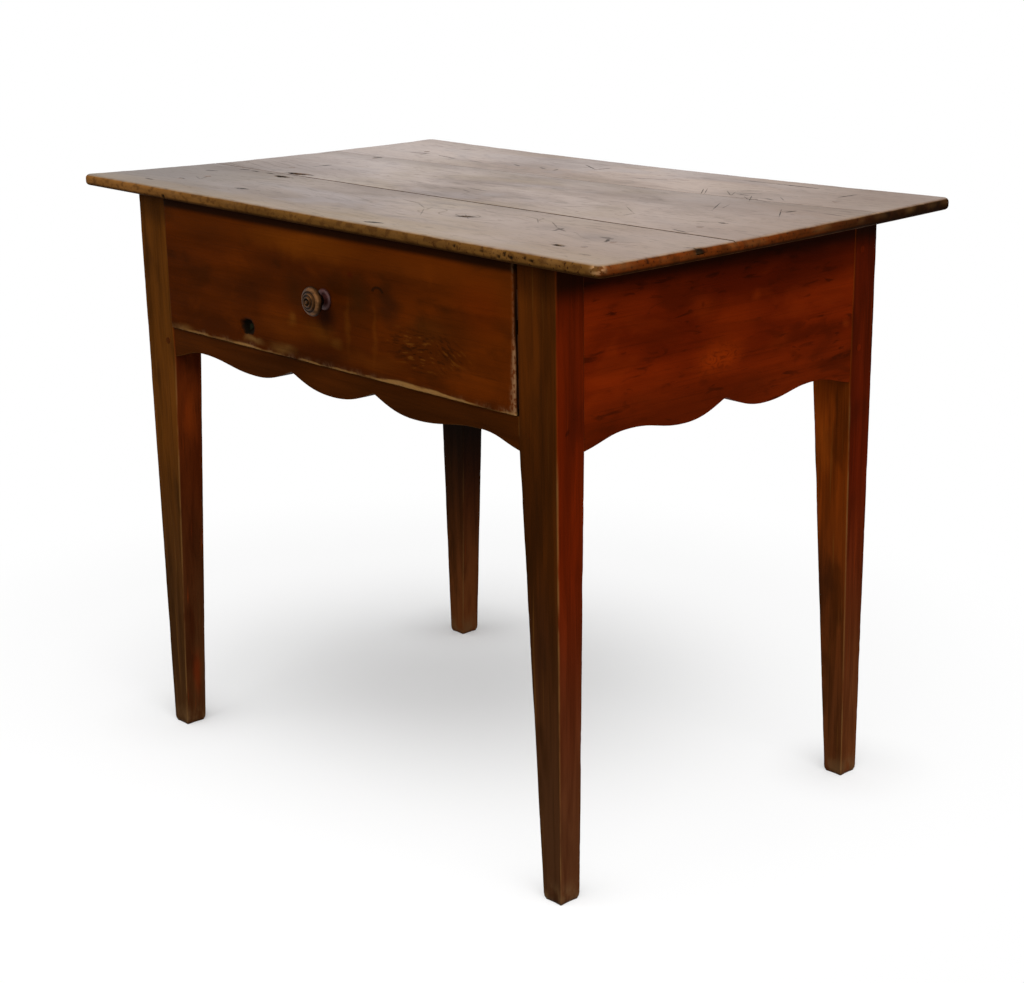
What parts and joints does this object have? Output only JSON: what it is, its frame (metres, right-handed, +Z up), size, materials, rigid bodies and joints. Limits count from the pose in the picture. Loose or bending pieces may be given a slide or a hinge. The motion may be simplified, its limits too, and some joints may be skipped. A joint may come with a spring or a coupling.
{
  "type": "tavern table",
  "caption": "Country table with a plank top on tapered legs, shaped aprons and a drawer under the top that slides out by a turned knob.",
  "frame": {"origin": "on the floor, under the middle of the whole table with its knob", "axes": "+X along the length of the top, +Y from the drawer front to the back, +Z up"},
  "size_m": [0.9197, 0.581, 0.721],
  "materials": {
    "top_wood": "old waxed wood, greyed and scratched",
    "frame_wood": "old polished red-brown wood with worn arrises",
    "drawer_front_wood": "old polished orange-brown wood with worn edges",
    "peg_wood": "dark end grain",
    "inner_wood": "bare dusty wood",
    "bronze": "aged brown bronze",
    "iron": "dark forged iron"
  },
  "bodies": {
    "frame": {"top_board_front": "top_wood", "top_board_middle": "top_wood", "top_board_back": "top_wood", "top_pegs": "peg_wood", "leg_front_left": "frame_wood", "leg_front_right": "frame_wood", "leg_back_left": "frame_wood", "leg_back_right": "frame_wood", "apron_left": "frame_wood", "apron_right": "frame_wood", "apron_back": "frame_wood", "front_rail": "frame_wood", "side_apron_pegs": "peg_wood", "back_apron_pegs": "peg_wood", "front_rail_pegs": "peg_wood", "drawer_runner_left": "inner_wood", "drawer_runner_right": "inner_wood", "drawer_guide_left": "inner_wood", "drawer_guide_right": "inner_wood", "guide_nails": "iron", "runner_nails": "iron", "drawer_stops": "inner_wood"},
    "drawer": {"drawer_front": "drawer_front_wood", "drawer_side_left": "inner_wood", "drawer_side_right": "inner_wood", "drawer_back": "inner_wood", "drawer_bottom_front": "inner_wood", "drawer_bottom_back": "inner_wood", "drawer_bottom_nails": "iron", "knob_rose": "bronze", "knob": "bronze", "knob_bolt": "iron", "knob_washer": "iron", "knob_nut": "iron"}
  },
  "joints": [
    {"name": "drawer_slide", "type": "slide", "parent": "frame", "child": "drawer", "axis": [0, -1, 0], "range_m": [0, 0.36]}
  ]
}
